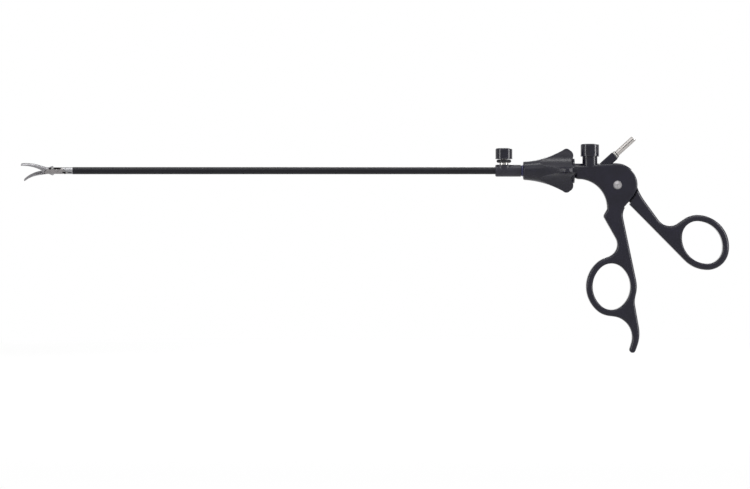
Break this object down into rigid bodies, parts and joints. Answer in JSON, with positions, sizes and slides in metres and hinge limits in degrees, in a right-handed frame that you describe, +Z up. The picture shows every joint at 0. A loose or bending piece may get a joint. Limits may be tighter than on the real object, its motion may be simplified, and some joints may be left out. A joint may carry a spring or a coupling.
{
  "type": "laparoscopic grasper",
  "caption": "Long slim laparoscopic grasper with double-action toothed jaws, rotation knob, flushing port, electrode pin and a ring handle with a thumb lever.",
  "frame": {"origin": "on the shaft's axis at the front face of the hub, where the insulated sheath leaves it", "axes": "-X along the sheath to the jaws, +Z up from the finger ring to the release button, -Y towards the side the picture shows"},
  "size_m": [0.4915, 0.0306, 0.1504],
  "materials": {
    "handle_black": "fine matte black with glossier rounded edges",
    "knob_black": "satin black",
    "hub_grey": "satin dark grey",
    "button_black": "satin black with soft highlights",
    "ring_blue": "dark blue",
    "sleeve_black": "smooth black insulation",
    "seal_black": "black rubber",
    "screw_steel": "turned",
    "collar_steel": "bright",
    "electrode_steel": "polished",
    "port_steel": "turned",
    "inner_steel": "plain",
    "end_steel": "fine turned",
    "clevis_steel": "fine satin",
    "pin_steel": "satin",
    "jaw_steel": "fine blasted",
    "link_steel": "bright"
  },
  "bodies": {
    "handle": {"handle_frame": "handle_black", "neck_flange": "handle_black", "pivot_screw": "screw_steel", "pivot_nut": "screw_steel", "neck_bush": "inner_steel", "connector_collar": "collar_steel", "connector_seal": "seal_black", "electrode_pin": "electrode_steel", "button_spring": "inner_steel"},
    "lever": {"thumb_lever": "handle_black", "pivot_bush": "inner_steel"},
    "button": {"release_button": "button_black", "latch_plate": "inner_steel"},
    "barrel": {"rotation_knob": "knob_black", "coupling_sleeve": "inner_steel", "colour_ring": "ring_blue", "hub_washer": "seal_black", "sheath_hub": "hub_grey", "port_stem": "port_steel", "port_seal": "seal_black", "sheath_tube": "inner_steel", "insulation_sleeve": "sleeve_black", "rod_seal": "seal_black", "sheath_end": "end_steel", "sheath_rear_ring": "inner_steel", "clevis": "clevis_steel", "jaw_pivot_pin": "inner_steel"},
    "cap": {"port_cap": "button_black"},
    "rod": {"rod_head": "inner_steel", "rod_pin": "inner_steel", "cross_pin": "pin_steel", "pull_rod": "inner_steel", "rod_ball": "inner_steel"},
    "upper_jaw_body": {"upper_jaw": "jaw_steel", "lower_knee_pin": "inner_steel"},
    "lower_jaw_body": {"lower_jaw": "jaw_steel", "upper_knee_pin": "inner_steel"},
    "lower_link_body": {"lower_link": "link_steel"},
    "upper_link_body": {"upper_link": "link_steel"}
  },
  "joints": [
    {"name": "squeeze", "type": "hinge", "parent": "handle", "child": "lever", "pos_m": [0.0847, 0, -0.01], "axis": [0, 1, 0], "range_deg": [0, 12]},
    {"name": "knob_spin", "type": "hinge", "parent": "handle", "child": "barrel", "pos_m": [0, 0, 0], "axis": [1, 0, 0], "continuous": true},
    {"name": "button_press", "type": "slide", "parent": "handle", "child": "button", "axis": [0, 0, -1], "range_m": [0, 0.0016], "stiffness_N_per_m": 300, "springref_m": -0.001, "deforming": ["button_spring"]},
    {"name": "cap_twist", "type": "hinge", "parent": "barrel", "child": "cap", "pos_m": [0.006, 0, 0.0118], "axis": [0, 0, 1], "range_deg": [0, 90]},
    {"name": "rod_slide", "type": "slide", "parent": "barrel", "child": "rod", "axis": [1, 0, 0], "range_m": [0, 0.00209]},
    {"name": "upper_jaw_pivot", "type": "hinge", "parent": "barrel", "child": "upper_jaw_body", "pos_m": [-0.3114, 0, 0], "axis": [0, -0.7431, -0.6691], "range_deg": [0, 22]},
    {"name": "lower_jaw_pivot", "type": "hinge", "parent": "barrel", "child": "lower_jaw_body", "pos_m": [-0.3114, 0, 0], "axis": [0, 0.7431, 0.6691], "range_deg": [0, 22]},
    {"name": "lower_knee", "type": "hinge", "parent": "upper_jaw_body", "child": "lower_link_body", "pos_m": [-0.30754, 0.00168, -0.00186], "axis": [0, 0.7431, 0.6691], "range_deg": [0, 68.2]},
    {"name": "upper_knee", "type": "hinge", "parent": "lower_jaw_body", "child": "upper_link_body", "pos_m": [-0.30754, -0.00168, 0.00186], "axis": [0, -0.7431, -0.6691], "range_deg": [0, 68.2]}
  ],
  "couplings": [
    {"joint": "rod_slide", "follows": "squeeze", "m_per_rad": 0.01},
    {"joint": "upper_jaw_pivot", "follows": "squeeze", "ratio": 1.8333},
    {"joint": "lower_jaw_pivot", "follows": "squeeze", "ratio": 1.8333},
    {"joint": "lower_knee", "follows": "squeeze", "ratio": 5.6833},
    {"joint": "upper_knee", "follows": "squeeze", "ratio": 5.6833}
  ]
}
